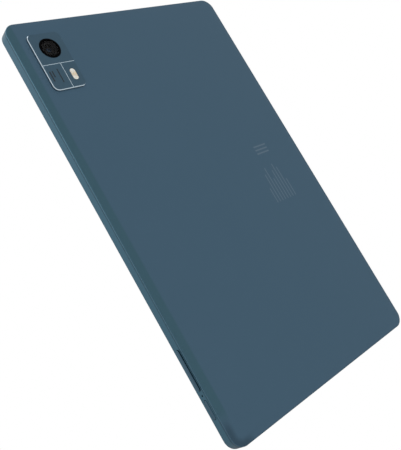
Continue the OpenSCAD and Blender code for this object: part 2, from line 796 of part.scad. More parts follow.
module speaker_drivers() {
    color("#8f9498") from_back() at_speakers()
        translate([-mesh_t - speaker_d / 2 - 1.2, 0, bay_z + 0.1]) rotate([0, 0, 90])
            pill(speaker_l - 7 - 2 * loose, speaker_d - 4 - 2 * loose, 0.7);
}

module speaker_meshes() {
    color("#101112") from_back() at_speakers()
        block([-mesh_t - fit, -speaker_l / 2 + 1, port_h - mesh_h / 2],
              [-fit, speaker_l / 2 - 1, port_h + mesh_h / 2]);
}

module microphones() {
    color("#c9ccd0") from_back() {
        block([mic_x - 1.4, inner_y - 1.7, key_h - 1.2], [mic_x + 1.4, inner_y - 0.1, key_h + 1]);
        block([inner_x - 2.6, low_mic_y - 1.5, port_h - 0.9],
              [inner_x - loose, low_mic_y + 1.5, port_h + 0.9]);
    }
}

module antennas() {
    strip = 5;
    z = floor_t;
    color("#d49a3a") from_back() {
        translate([-inner_x + 12, -inner_y + 1.6, z]) cube([38, strip - 2, cable_t]);
        translate([inner_x - 50, -inner_y + 1.6, z]) cube([38, strip - 2, cable_t]);
        translate([-30, inner_y - 2 * strip - 2, z]) cube([34, strip, cable_t]);
    }
}

module key_cable() {
    z = cable_z;
    top = max(key_h + 0.8, z + cable_t);
    fold_x = bracket_x0 - key_cable_w;
    end_x = board_x + board_w - 9.5;
    color("#b5792d") from_back() {
        block([fold_x, dome_y - cable_t, min(z, contact_h - dome_r)], [bracket_x1, dome_y, top]);
        block([fold_x, key_cable_y, z], [fold_x + key_cable_w, dome_y, z + cable_t]);
        block([end_x, key_cable_y, z],
              [fold_x + key_cable_w, key_cable_y + key_cable_w, z + cable_t]);
        block([end_x, board_y1 - 4, z], [end_x + 4, key_cable_y + key_cable_w, z + cable_t]);
    }
}

module key_bracket() {
    y1 = dome_y - cable_t;
    color("#aeb3b8") from_back() {
        block([bracket_x0, y1 - bracket_t, bay_z], [bracket_x1, y1, key_h + 0.8]);
        block([bracket_x0, y1 - 3, bay_z], [bracket_x1, y1, bay_z + 0.4]);
    }
}

module dome_switches() {
    color("#d7dade") from_back() for (x = [rocker_x - nub_x, rocker_x + nub_x, power_x])
        translate([x, dome_y, contact_h]) rotate([-90, 0, 0]) {
            cylinder(r = dome_r, h = 0.1);
            cylinder(r1 = 1.1, r2 = 0.7, h = dome_h);
        }
}

// A key in its own frame: +Y out of the side, its flange's outer face gap_in behind the wall
module key(l, proud, gap_in, nubs, nub_end) {
    flange_t = 0.5;
    flange_y = inner_y - gap_in - flange_t;
    translate([0, flange_y + eps, key_h])
        side_pill(90, l, key_w, half_w + proud - flange_y - eps);
    block([-l / 2 - flange_x, flange_y, key_h - key_w / 2 - 0.3],
          [l / 2 + flange_x, flange_y + flange_t, key_h + key_w / 2]);
    for (x = nubs) translate([x, nub_end, contact_h]) rotate([-90, 0, 0])
        cylinder(r = 0.6, h = flange_y - nub_end + eps);
}

module volume_rocker() {
    color("#46606f") from_back() translate([rocker_x, 0, 0])
        key(rocker_l, rocker_proud, rocker_gap_in, [-nub_x, nub_x],
            dome_y + dome_h + nub_gap + 0.2);
}

module power_key() {
    color("#46606f") from_back() translate([power_x, 0, 0])
        key(power_l, power_proud, power_gap_in, [0], dome_y + dome_h + nub_gap + key_travel);
}

module card_tray() {
    edge = 1.3;
    sim = [8.9, 11];
    card_l = 14.5;
    x0 = tray_x0 + cap_t;
    z0 = tray_h - tray_t / 2;
    color("#4c6c7c") from_back() difference() {
        union() {
            translate([tray_x0 + cap_t, cap_y, tray_h]) side_pill(180, cap_w, cap_h, cap_t);
            block([x0 - eps, tray_y - tray_w / 2, z0], [tray_x1, tray_y + tray_w / 2, z0 + tray_t]);
        }
        block([x0 + edge, tray_y - sim.y / 2, z0 - eps],
              [x0 + edge + sim.x, tray_y + sim.y / 2, z0 + tray_t - 0.25]);
        block([x0 + 2 * edge - 0.2 + sim.x, tray_y - sim.y / 2, z0 - eps],
              [x0 + 2 * edge - 0.2 + sim.x + card_l, tray_y + sim.y / 2, z0 + tray_t - 0.25]);
        translate([tray_x0 - eps, rod_y, tray_h]) rotate([0, 90, 0])
            cylinder(r = 0.45, h = cap_t + 2 * eps);
    }
}

module card_reader() {
    y0 = tray_y - tray_w / 2 - 0.2;
    y1 = tray_y + tray_w / 2 + 0.2;
    z0 = tray_h - tray_t / 2 - loose;
    z1 = board_z - eps;
    base_z = tray_h + tray_t / 2 + loose;
    guide = rod_w / 2 + loose;
    color("#c3c7cb") from_back() {
        difference() {
            block([cage_x0, y0 - cage_t, z0 - cage_t], [cage_x1, y1 + cage_t, z1]);
            block([cage_x0 - eps, y0, z0], [cage_x1 + eps, y1, base_z]);
        }
        block([cage_x0 + 2, y1, base_z], [lever.x + 2.2, rod_y + guide + 0.3, z1]);
        block([cage_x1 - eps, y0 - cage_t, base_z], [lever.x + 2.2, y1 + cage_t, z1]);
        for (x = [cage_x0 + 3, rod_x1 - 5])
            block([x, rod_y + guide, z0], [x + 2, rod_y + guide + 0.3, z1]);
        translate([lever.x, lever.y, z0]) cylinder(r = 0.7, h = z1 - z0);
    }
}

module eject_rod() {
    color("#8f9498") from_back()
        block([tray_x0 + cap_t + 0.2, rod_y - rod_w / 2, tray_h - rod_w / 2],
              [rod_x1, rod_y + rod_w / 2, tray_h + rod_w / 2]);
}

module eject_lever() {
    plate = 0.5;
    hub = [0, 0];
    rod_pad = [rod_x1 + loose + 0.5 - lever.x, rod_y - lever.y];
    tray_pad = [-0.6, -lever_drop];
    color("#aeb3b8") from_back() translate([lever.x, lever.y, tray_h - plate / 2]) difference() {
        union() {
            cylinder(r = 1.5, h = plate);
            bar(hub, rod_pad, 1, plate);
            bar(hub, tray_pad, 1, plate);
        }
        translate([0, 0, -eps]) cylinder(r = 0.75, h = plate + 2 * eps);
    }
}

module board_screws() {
    head_t = 0.5;
    color("#7d8286") from_back() for (p = screws) translate([p.x, p.y, board_z - head_t]) {
        difference() {
            cylinder(r = 1.4, h = head_t);
            for (turn = [0, 90]) rotate([0, 0, turn])
                translate([-0.8, -0.15, -eps]) cube([1.6, 0.3, 0.25 + eps]);
        }
        translate([0, 0, head_t - eps])
            cylinder(r = screw_r, h = plate_z + plate_t - board_z - 0.05);
    }
}

rear_cover();
side_frame();
mid_plate();
cover_glass();
glass_adhesive();
display_panel();
backlight();
foam_strips();
display_cable();
camera_island();
camera_ring();
camera_glass();
flash_window();
flash_lamps();
flash_board();
rear_camera_housing();
focus_barrel();
focus_lens();
rear_camera_board();
front_camera();
front_camera_cable();
main_board();
main_chips();
shield_cans();
plug_connectors();
battery_cells();
battery_board();
battery_cable();
battery_adhesive();
port_board();
usb_socket_shell();
usb_socket_tongue();
headphone_jack();
jack_contacts();
link_cable();
speaker_boxes();
speaker_drivers();
speaker_meshes();
microphones();
antennas();
key_cable();
key_bracket();
dome_switches();
volume_rocker();
power_key();
card_tray();
card_reader();
eject_rod();
eject_lever();
board_screws();
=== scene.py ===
# %% [markdown]
# # A slim tablet, seen from its back
# This lesson dresses a finished CAD model of a tablet computer. The CAD model is loaded as a fixed
# frame, and its boxes give the places of the new pieces. The pieces whose edges catch the light are
# modelled again with finer edges. The rail, the card tray and the pieces inside keep their CAD shape
# and get a finish. Lengths are in metres, and mm turns millimetres into metres.

# %% Load the frame
import math

import bmesh
import bpy
from mathutils import Matrix, Vector


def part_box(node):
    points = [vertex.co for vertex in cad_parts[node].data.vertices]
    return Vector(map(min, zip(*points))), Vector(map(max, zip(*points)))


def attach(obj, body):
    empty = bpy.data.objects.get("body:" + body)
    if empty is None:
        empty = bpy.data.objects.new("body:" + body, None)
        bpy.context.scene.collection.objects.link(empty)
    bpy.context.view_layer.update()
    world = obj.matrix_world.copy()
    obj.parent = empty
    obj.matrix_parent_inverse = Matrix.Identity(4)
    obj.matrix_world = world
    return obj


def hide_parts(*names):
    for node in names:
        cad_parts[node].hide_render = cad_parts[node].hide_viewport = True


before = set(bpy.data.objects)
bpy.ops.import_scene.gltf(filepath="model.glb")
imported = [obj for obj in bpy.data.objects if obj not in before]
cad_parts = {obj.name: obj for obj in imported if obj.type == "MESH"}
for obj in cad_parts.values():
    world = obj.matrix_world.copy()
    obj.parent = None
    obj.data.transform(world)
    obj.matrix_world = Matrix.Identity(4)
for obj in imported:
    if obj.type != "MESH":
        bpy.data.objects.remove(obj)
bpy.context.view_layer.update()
mm = 0.001

# %% [markdown]
# ## Helpers for modelling
# An operator acts on everything that is selected, and loading leaves the CAD nodes selected. So each
# helper first clears the selection. Faces and edges are then picked by their place or their normal,
# as a person would click on them.


# %% Selecting
def only(obj):
    """Leaves one object selected and active."""
    bpy.ops.object.select_all(action="DESELECT")
    obj.select_set(True)
    bpy.context.view_layer.objects.active = obj


def edit(obj, kind="FACE"):
    """Enters edit mode with nothing selected."""
    only(obj)
    bpy.ops.object.mode_set(mode="EDIT")
    bpy.ops.mesh.select_mode(type=kind)
    bpy.ops.mesh.select_all(action="DESELECT")


def done():
    """Goes back to object mode."""
    bpy.ops.object.mode_set(mode="OBJECT")


def pick(obj, test):
    """Selects the faces or edges of the object in edit mode for which test is true."""
    mesh = bmesh.from_edit_mesh(obj.data)
    by_face = bpy.context.tool_settings.mesh_select_mode[2]
    for part in (mesh.faces if by_face else mesh.edges):
        if test(part):
            part.select_set(True)
    bmesh.update_edit_mesh(obj.data)


def faces_toward(axis, limit=0.99):
    """A test for faces that look along an axis."""
    axis = Vector(axis)
    return lambda face: face.normal.dot(axis) > limit


def edges_along(axis):
    """A test for edges that run along an axis."""
    axis = Vector(axis)
    return lambda edge: abs((edge.verts[0].co - edge.verts[1].co).normalized().dot(axis)) > 0.999


# %% [markdown]
# ## Helpers for shapes
# Almost every piece here is a slab with round corners whose edge is softened. It starts as a cube at
# its real size. Its upright edges are bevelled into round corners, and its face is then inset and
# moved in small steps, which follows any edge profile exactly.

# %% Blocks, slabs and discs
BELOW, ABOVE = (0, 0, -1), (0, 0, 1)


def settle(name):
    """Names the new object and puts its place into its mesh."""
    obj = bpy.context.object
    obj.name = obj.data.name = name
    bpy.ops.object.transform_apply(location=True, rotation=True, scale=True)
    return obj


def block(name, low, high):
    """A box between two corners."""
    bpy.ops.object.select_all(action="DESELECT")
    low, high = Vector(low), Vector(high)
    bpy.ops.mesh.primitive_cube_add(size=1, location=(low + high) / 2, scale=high - low)
    return settle(name)


def slab(name, low, high, radius, axis=ABOVE, segments=16):
    """A block whose four edges along an axis are rounded."""
    obj = block(name, low, high)
    edit(obj, "EDGE")
    pick(obj, edges_along(axis))
    bpy.ops.mesh.bevel(offset=radius, segments=segments, affect="EDGES")
    bpy.ops.mesh.select_all(action="SELECT")
    bpy.ops.mesh.remove_doubles(threshold=0.01 * mm)    # tiny leftover edges would spoil an inset
    done()
    return obj


def disc(name, centre, radius, low, high, sides=96):
    """A cylinder along Z between two heights."""
    bpy.ops.object.select_all(action="DESELECT")
    place = (centre[0], centre[1], (low + high) / 2)
    bpy.ops.mesh.primitive_cylinder_add(vertices=sides, radius=radius, depth=high - low, location=place)
    return settle(name)


# %% [markdown]
# An edge profile is a list of steps. In each step the face is inset by one length and moved along its
# axis by another. Where the inset is nothing, the face is extruded, which makes an upright wall.

# %% Stepped edges
def step_in(obj, axis, steps):
    """Insets the face that looks along the axis and moves it along that axis, step by step."""
    edit(obj)
    pick(obj, faces_toward(axis))
    for inset, move in steps:
        if inset:
            bpy.ops.mesh.inset(thickness=inset)
            bpy.ops.transform.translate(value=Vector(axis) * move)
        else:
            bpy.ops.mesh.extrude_region_move(TRANSFORM_OT_translate={"value": Vector(axis) * move})
    done()


# %% [markdown]
# Openings could be drawn into the faces, but a boolean modifier cuts them from the finished shape in
# one step, and the cutter's own round corners come with it. The same modifier welds shapes together.

# %% Cutting and welding
def cut(obj, *tools):
    """Cuts each tool out of the object and removes the tool."""
    for tool in tools:
        only(obj)
        modifier = obj.modifiers.new("cut", "BOOLEAN")
        modifier.operation, modifier.object, modifier.solver = "DIFFERENCE", tool, "EXACT"
        bpy.ops.object.modifier_apply(modifier=modifier.name)
        bpy.data.objects.remove(tool)


def weld(obj, *others):
    """Makes one closed shape of several that overlap."""
    for other in others:
        only(obj)
        modifier = obj.modifiers.new("weld", "BOOLEAN")
        modifier.operation, modifier.object, modifier.solver = "UNION", other, "EXACT"
        bpy.ops.object.modifier_apply(modifier=modifier.name)
        bpy.data.objects.remove(other)


# %% [markdown]
# A finished piece is smoothed where its faces meet at a small angle, and keeps its sharp edges. Then
# it is told which body it rides on and which CAD nodes it hides.

# %% Finishing a piece
def finish_piece(obj, body, slot, *nodes, angle=25):
    """Smooths a piece, seats it on its body and lets it stand for its CAD nodes."""
    only(obj)
    bpy.ops.object.shade_smooth_by_angle(angle=math.radians(angle))
    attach(obj, body)
    if nodes:
        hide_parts(*nodes)
    print(obj.name, len(obj.data.polygons), "faces")


def paint(obj, *materials):
    """Gives an object its materials, in order."""
    obj.data.materials.clear()
    for material in materials:
        obj.data.materials.append(material)


def paint_where(obj, index, test):
    """Gives the faces for which test is true another of the piece's materials."""
    for face in obj.data.polygons:
        if test(face):
            face.material_index = index


# %% [markdown]
# ## Helpers for materials
# Colours are written as on a paint chart, in sRGB hex, and one function turns them linear. One more
# function adds a node with its settings and links, so a material reads as a list of nodes.

# %% Colour and nodes
def linear(hex_colour):
    """An sRGB hex colour as linear red, green, blue and alpha."""
    parts = [int(hex_colour[i:i + 2], 16) / 255 for i in (1, 3, 5)]
    return [c / 12.92 if c <= 0.04045 else ((c + 0.055) / 1.055) ** 2.4 for c in parts] + [1.0]


def add(tree, kind, links=(), **settings):
    """Adds a node: settings are its own options, and links sets its input sockets or joins them."""
    node = tree.nodes.new("ShaderNode" + kind)
    for key, value in settings.items():
        setattr(node, key, value)
    for socket, value in dict(links).items():
        if isinstance(value, bpy.types.NodeSocket):
            tree.links.new(value, node.inputs[socket])
        else:
            node.inputs[socket].default_value = value
    return node


def material(name, **sockets):
    """A new material with its shader's own sockets set; returns it, its tree and its shader."""
    made = bpy.data.materials.new(name)
    made.use_nodes = True
    tree = made.node_tree
    shader = tree.nodes["Principled BSDF"]
    for key, value in sockets.items():
        shader.inputs[key.replace("_", " ").title().replace("Ior", "IOR")].default_value = value
    print("finish", name)
    return made, tree, shader


def place_of(tree, scale=(1, 1, 1)):
    """Object coordinates in metres, stretched by scale."""
    coordinates = add(tree, "TexCoord")
    return add(tree, "Mapping", {"Vector": coordinates.outputs["Object"], "Scale": scale}).outputs[0]


# %% [markdown]
# ## Grained metal and moulded plastic
# Most finishes here share one recipe: a fine grain that shifts the colour and roughness a little and
# lifts the surface a few thousandths of a millimetre. The grain of bead-blasted aluminium is about
# 0.05 mm, too fine to show, so it is drawn at 0.3 mm. The function takes the size that is drawn.

# %% A grained finish
def grained(name, dark, light, metallic, roughness, grain, lift=0.004, stretch=(1, 1, 1), **sockets):
    """A finish with a grain of the given size in mm, from a dark to a light shade."""
    made, tree, shader = material(name, metallic=metallic, **sockets)
    where = place_of(tree, stretch)
    noise = add(tree, "TexNoise", {"Vector": where, "Scale": 1 / (grain * mm), "Detail": 3.0,
                                   "Roughness": 0.6})
    cloud = add(tree, "TexNoise", {"Vector": where, "Scale": 25.0, "Detail": 2.0})
    both = add(tree, "Mix", {0: 0.35, 2: noise.outputs["Fac"], 3: cloud.outputs["Fac"]})
    shade = add(tree, "MixRGB", {0: both.outputs[0], 1: linear(dark), 2: linear(light)})
    tree.links.new(shade.outputs[0], shader.inputs["Base Color"])
    rough = add(tree, "MapRange", {"Value": noise.outputs["Fac"], "To Min": roughness - 0.05,
                                   "To Max": roughness + 0.05})
    tree.links.new(rough.outputs[0], shader.inputs["Roughness"])
    bump = add(tree, "Bump", {"Height": noise.outputs["Fac"], "Strength": 0.3, "Distance": lift * mm})
    tree.links.new(bump.outputs[0], shader.inputs["Normal"])
    return made


# %% [markdown]
# The body is taken to be bead-blasted aluminium, anodised blue. All of it is satin: the blasting
# scatters the light, and the metal under the oxide gives it back. Cover, rail, island and keys each
# have a shade of their own, matched to how that piece looks under this light: the rail's and the
# keys' darker blues are painted shade. The island's edge is cut after the dye, so it is bare, bright
# and nearly smooth.

# %% Blues of the body and the cut edge
cover_blue = grained("anodised_aluminium_blue", "#4e6a7f", "#526e83", 0.95, 0.5, 0.3)
# Painted shade: the rail and keys take darker copies of the body's blue, matched to how they are lit.
frame_blue = grained("anodised_aluminium_rail", "#305262", "#345666", 0.95, 0.42, 0.3, lift=0.002)
island_blue = grained("anodised_aluminium_island", "#486274", "#4c6678", 0.95, 0.48, 0.3)
key_blue = grained("anodised_aluminium_key", "#324c5c", "#365060", 0.95, 0.4, 0.3, lift=0.002)
edge_polish = grained("diamond_cut_edge", "#c3d6e4", "#d0e0ec", 1.0, 0.12, 0.4, lift=0.001)

# %% [markdown]
# A finish can also change along a piece. The change is worked out from the place on the object, so it
# stays where it is when the camera moves.


# %% Colours that change along a piece
def shift_colour(made, factor, towards, amount):
    """Blends a finish's colour towards another where factor is 1."""
    tree = made.node_tree
    shader = tree.nodes["Principled BSDF"]
    old = shader.inputs["Base Color"].links[0].from_socket
    part = add(tree, "Math", {0: factor, 1: amount}, operation="MULTIPLY").outputs[0]
    blend = add(tree, "MixRGB", {0: part, 1: old, 2: linear(towards)})
    tree.links.new(blend.outputs[0], shader.inputs["Base Color"])


def along(made, axis, start, end):
    """0 at start and 1 at end along an axis of the object, with a soft change between."""
    tree = made.node_tree
    parts = add(tree, "SeparateXYZ", {"Vector": place_of(tree)})
    return add(tree, "MapRange", {"Value": parts.outputs[axis], "From Min": start, "From Max": end},
               interpolation_type="SMOOTHSTEP").outputs[0]


# %% [markdown]
# ## The rear cover
# The cover of such a tablet is one aluminium pan. Its back is flat, with a border 5 mm wide that
# rises gently to the edge and ends in a thin cut edge. A loft would do, but stepping the flat face
# inwards keeps every ring parallel to the outline.

# %% Sizes of the cover
BODY = "tablet_body"
cover_low, cover_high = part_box("rear_cover")
frame_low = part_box("side_frame")[0]
corner_r = 7.1 * mm
back_z = cover_low.z                       # the flat of the back
band_w, band_rise, bright_w = 5 * mm, 0.4 * mm, 0.25 * mm
rim_z = back_z + 1.15 * mm                 # top of the pan's outer wall, under the seam
seam_z = frame_low.z                       # where the rail begins
seam_depth = 0.35 * mm
wall = 1.6 * mm
floor_z = back_z + 0.9 * mm                # inside of the pan
lip_gap, lip_t, lip_h = 0.1 * mm, 0.8 * mm, 1.3 * mm    # lip that locates the pan in the rail
print("cover", [round(v / mm, 2) for v in cover_high - cover_low], "mm")


def depth_inside(point):
    """Distance of a point from the tablet's outline, inwards."""
    over_x = abs(point.x) - (cover_high.x - corner_r)
    over_y = abs(point.y) - (cover_high.y - corner_r)
    if over_x > 0 and over_y > 0:
        return corner_r - math.hypot(over_x, over_y)
    return corner_r - max(over_x, over_y)


# %% [markdown]
# The outside steps in from the edge over the border to the flat. The inside steps in over the seam to
# the floor, and a ring of the floor is then pulled up as the lip.

# %% Shape the cover
band_steps = 10
band_inset = (band_w - bright_w) / band_steps
outside = [(bright_w, bright_w)]
for step in range(band_steps, 0, -1):
    outside.append((band_inset, band_rise * (step ** 2 - (step - 1) ** 2) / band_steps ** 2))
inside = [(seam_depth, 0), (0, seam_z - rim_z), (wall - seam_depth, 0), (0, floor_z - seam_z),
          (lip_gap, 0), (lip_t, 0)]

cover = slab("rear_cover_shell", (cover_low.x, cover_low.y, back_z + band_rise + bright_w),
             (cover_high.x, cover_high.y, rim_z), corner_r)
step_in(cover, BELOW, outside)
step_in(cover, ABOVE, inside)

edit(cover)
pick(cover, lambda face: face.normal.z > 0.99 and abs(face.calc_center_median().z - floor_z) < 0.01 * mm
     and lip_gap < depth_inside(face.calc_center_median()) - wall < lip_gap + lip_t)
bpy.ops.mesh.extrude_region_move(TRANSFORM_OT_translate={"value": (0, 0, lip_h)})
done()
print("cover shaped", len(cover.data.polygons), "faces")

# %% [markdown]
# The lip is left out beside the keys, the front camera, the speakers and the jack. The island's seat,
# the lens opening and the flash opening go through the pan. A boolean modifier takes each one out.

# %% Cut the cover's openings
island_low, island_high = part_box("camera_island")
ring_low, ring_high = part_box("camera_ring")
flash_low, flash_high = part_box("flash_window")
rocker_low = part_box("volume_rocker")[0]
power_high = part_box("power_key")[1]
jack_low, jack_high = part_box("headphone_jack")
speaker_low, speaker_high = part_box("speaker_boxes")
front_low, front_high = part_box("front_camera")
lens = ((ring_low + ring_high) / 2).to_2d()
ring_r = (ring_high.x - ring_low.x) / 2
lip_reach = wall + lip_t + 0.4 * mm
lip_top = floor_z + lip_h + 0.1 * mm
past = 0.05 * mm                           # how far a cutter goes past the face it opens
gap = 0.05 * mm                            # clearance round a piece let into another
island_r, ring_lip = 3.3 * mm, 0.9 * mm    # island's corners; ledge under the camera glass


def lip_cutter(low_x, low_y, high_x, high_y):
    """A cutter as high as the lip."""
    return block("cutter", (low_x, low_y, floor_z), (high_x, high_y, lip_top))


side_x, side_y = cover_high.x, cover_high.y
key_room, speaker_room, jack_room = 2.2 * mm, 1 * mm, 1 * mm
front_room = 2                             # its gap is twice as wide as the front camera
cut(cover,
    lip_cutter(rocker_low.x - key_room, side_y - lip_reach, power_high.x + key_room, side_y - wall),
    lip_cutter(front_room * front_low.x, side_y - lip_reach, front_room * front_high.x, side_y - wall),
    lip_cutter(side_x - lip_reach, jack_low.y - jack_room, side_x - wall, jack_high.y + jack_room))
for side in (-1, 1):
    ends = sorted((side * (side_x - lip_reach), side * (side_x - wall)))
    cut(cover, lip_cutter(ends[0], speaker_low.y - speaker_room, ends[1], speaker_high.y + speaker_room))

seat_z, lens_hole, flash_r = island_high.z, ring_r - ring_lip, (flash_high.y - flash_low.y) / 2
cut(cover,
    slab("cutter", (island_low.x, island_low.y, back_z - past), (island_high.x, island_high.y, seat_z),
         island_r),
    disc("cutter", lens, lens_hole, back_z, floor_z + past),
    slab("cutter", (flash_low.x - gap, flash_low.y - gap, back_z), (flash_high.x + gap,
         flash_high.y + gap, floor_z + past), flash_r))
print("cover cut", len(cover.data.polygons), "faces")

# %% [markdown]
# The sloped border along the keys looks a little greener and darker than the flat. That is painted
# shade: the light alone doesn't give it here, so the colour shifts there, on the keys' side only. The
# cover's cut edge is satin, like metal anodised again after the cut. Its colour is lightest at the
# camera end and melts into the border by the keys, a painted highlight.

# %% Finish the cover
band_y = cover_high.y - band_w             # where the border along the keys begins
blend_before, blend_after = 0.7 * mm, 0.9 * mm
fade_end, fade_start = 12 * mm, 22 * mm    # the green is gone this near the end, and full this far off
on_band = along(cover_blue, "Y", band_y - blend_before, band_y + blend_after)
before_corner = along(cover_blue, "X", cover_high.x - fade_end, cover_high.x - fade_start)
tree = cover_blue.node_tree
# Painted shade: the border along the keys turns greener and darker, fading out before the corner.
painted_border_shade = add(tree, "Math", {0: on_band, 1: before_corner}, operation="MULTIPLY").outputs[0]
shift_colour(cover_blue, painted_border_shade, "#486877", 1.0)

# Round the corner by the keys the border is darker: a painted shade, where the curved border turns
# away from the light. The distance from the corner's centre, counted only outwards, follows the round.
dark_from_edge, dark_start, dark_full = 1.5 * mm, 18 * mm, 10 * mm
middle = (cover_high.x - corner_r, cover_high.y - corner_r, 0.0)
outward = add(tree, "VectorMath", {0: place_of(tree), 1: middle}, operation="SUBTRACT").outputs[0]
outward = add(tree, "VectorMath", {0: outward, 1: (0.0, 0.0, 0.0)}, operation="MAXIMUM").outputs[0]
outward = add(tree, "VectorMath", {0: outward, 1: (1.0, 1.0, 0.0)}, operation="MULTIPLY").outputs[0]
from_centre = add(tree, "VectorMath", {0: outward}, operation="LENGTH").outputs["Value"]
round_edge = add(tree, "MapRange", {"Value": from_centre, "From Min": corner_r - band_w,
                                    "From Max": corner_r - dark_from_edge}, interpolation_type="SMOOTHSTEP")
at_corner = along(cover_blue, "X", cover_high.x - dark_start, cover_high.x - dark_full)
toward_keys = along(cover_blue, "Y", cover_high.y - 2 * corner_r, cover_high.y - corner_r)
painted_corner_shade = add(tree, "Math", {0: round_edge.outputs[0], 1: at_corner}, operation="MULTIPLY").outputs[0]
painted_corner_shade = add(tree, "Math", {0: painted_corner_shade, 1: toward_keys}, operation="MULTIPLY").outputs[0]
shift_colour(cover_blue, painted_corner_shade, "#425a6c", 1.0)

edge_satin = grained("satin_cut_edge", "#587e92", "#5c8296", 0.95, 0.35, 0.3, lift=0.001)
# Painted highlight: the cut edge is lightest at the camera end and dulls towards the keys.
highlight_full_x, highlight_gone_x = -100 * mm, 60 * mm
shift_colour(edge_satin, along(edge_satin, "X", highlight_full_x, highlight_gone_x), "#415f71", 1.0)

# The rail is darkened beside its seam with the cover: a painted shade along the seam.
seam_start, seam_full = 1 * mm, 0.1 * mm
painted_seam_shade = along(frame_blue, "Z", seam_z + seam_start, seam_z + seam_full)
shift_colour(frame_blue, painted_seam_shade, "#1f3b49", 0.85)
paint(cover, cover_blue, edge_satin)
rim_low = back_z + band_rise + 0.01 * mm
paint_where(cover, 1, lambda face: -0.9 < face.normal.z < -0.4
            and rim_low < face.center.z < rim_low + bright_w)
finish_piece(cover, BODY, "cover_paint", "rear_cover")

# %% [markdown]
# ## The camera island
# The island is a small plate let into the cover. Its blue face is framed by a diamond-cut edge,
# and two engraved lines of the same bright metal divide it into three cells: one for the lens, one
# for the flash and one left plain. The lines are shallow V grooves, so they catch the light.

# %% Shape the island
island_edge = 0.35 * mm
lens_cell, flash_cell = 19.55 * mm, 9.4 * mm    # width of the lens cell, height of the flash cell
line_x = island_low.x + lens_cell
line_y = island_low.y + flash_cell
line_w, line_depth, vee = 0.42 * mm, 0.12 * mm, 0.15    # vee: the bottom's width over the mouth's
face_z = island_low.z

island = slab("camera_island_plate", (island_low.x, island_low.y, face_z + island_edge),
              (island_high.x, island_high.y, seat_z), island_r)
step_in(island, BELOW, [(island_edge, island_edge)])


def groove(low, high, run):
    """A V-shaped cutter along x or y that starts just outside the island's face."""
    tool = block("cutter", (low[0], low[1], face_z - past), (high[0], high[1], face_z + line_depth))
    edit(tool)
    pick(tool, faces_toward(ABOVE))
    squeeze = (vee, 1, 1) if run == "y" else (1, vee, 1)
    bpy.ops.transform.resize(value=squeeze)
    done()
    return tool


cut(island,
    groove((line_x - line_w / 2, island_low.y - past), (line_x + line_w / 2, island_high.y + past), "y"),
    groove((line_x, line_y - line_w / 2), (island_high.x + past, line_y + line_w / 2), "x"),
    disc("cutter", lens, ring_r + gap, face_z - past, seat_z + past),
    slab("cutter", (flash_low.x - gap, flash_low.y - gap, face_z - past),
         (flash_high.x + gap, flash_high.y + gap, seat_z + past), flash_r))
paint(island, island_blue, edge_polish)


def on_line(face):
    """True for a face inside one of the two grooves."""
    near_x = abs(face.center.x - line_x) < line_w / 2
    near_y = abs(face.center.y - line_y) < line_w / 2 and face.center.x > line_x
    return face.center.z < face_z + line_depth + 0.01 * mm and (near_x or near_y)


paint_where(island, 1, lambda face: face.center.z > face_z + 0.001 * mm and
            (on_line(face) or (-0.9 < face.normal.z < -0.4 and face.center.z < face_z + island_edge)))
finish_piece(island, BODY, "island_paint", "camera_island")

# %% [markdown]
# ## Printed marks
# The back carries small print, and so does the island. Here plain bars with round ends that say
# nothing stand for it. Each bar is a slab of its own length and a hundredth of a millimetre thick, and
# the bars of one print are joined into one piece. That thickness is also the distance at which slab
# merges close points, so the three bars on the island lose theirs and end as open, flat faces. The
# bars on the back keep it. A thicker film would avoid this. The pale ink is only a little lighter
# than the metal and the dark ink is a blue charcoal. Both are matt, as dried ink is.

# %% Print the marks
light_ink = grained("pale_grey_ink", "#5b7386", "#62798b", 0.3, 0.6, 0.3)
dark_ink = grained("dark_grey_ink", "#1d2a33", "#24323b", 0.2, 0.6, 0.3)
film, end_round = 0.01 * mm, 0.45          # end_round: the ends' radius over the bar's thinner side


def bars(name, face, rows, ink, slot):
    """Plain bars on the face; a row is [low x, low y, high x, high y] in mm."""
    made = [slab("bar", (x0 * mm, y0 * mm, face - film), (x1 * mm, y1 * mm, face),
                 end_round * mm * min(x1 - x0, y1 - y0)) for x0, y0, x1, y1 in rows]
    bpy.ops.object.select_all(action="DESELECT")
    for bar in made:
        bar.select_set(True)
    bpy.context.view_layer.objects.active = made[0]
    bpy.ops.object.join()
    made[0].name = made[0].data.name = name
    paint(made[0], ink)
    finish_piece(made[0], BODY, slot)


lengths = (10, 19, 23, 15, 20, 24, 21, 12)
bars("back_print", back_z, [[22 - length, -35.4 - 2.5 * row, 22, -34.7 - 2.5 * row]
                            for row, length in enumerate(lengths)] +
     [[-16 + 2.4 * row, -52, -15 + 2.4 * row, -41] for row in range(3)], light_ink, "cover_paint")
bars("cell_print", face_z, [[-91.6, 66.2, -85.2, 67.0], [-91.6, 64.6, -87.6, 65.4],
                            [-92.4, 61.2, -83.8, 61.9]], dark_ink, "island_paint")

# %% [markdown]
# ## The camera ring and what lies behind its glass
# The ring is turned from aluminium and anodised black. It is drawn darker and with less gloss than
# such a ring has, because a brighter one showed as streaks in the glass. Behind the glass a
# stepped cone of matt black plastic keeps stray light off the lens. Both are cylinders whose faces
# are stepped inwards, then opened by bridging the two flat ends, as a hole is drilled.

# %% Finishes of the camera
ring_black = grained("gloss_black_anodised", "#020203", "#040405", 0.0, 0.3, 0.4, lift=0.0001)
ring_black.node_tree.nodes["Principled BSDF"].inputs["Specular IOR Level"].default_value = 0.02
baffle_black = grained("matt_black_baffle", "#0a0a0b", "#101011", 0.0, 0.7, 0.2)
baffle_black.node_tree.nodes["Principled BSDF"].inputs["Specular IOR Level"].default_value = 0.15
glass_in = ring_r - 1.25 * mm              # inside of the ring, round the cover glass
glass_low, glass_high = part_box("camera_glass")
barrel_low, barrel_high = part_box("focus_barrel")
focus_low, focus_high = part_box("focus_lens")


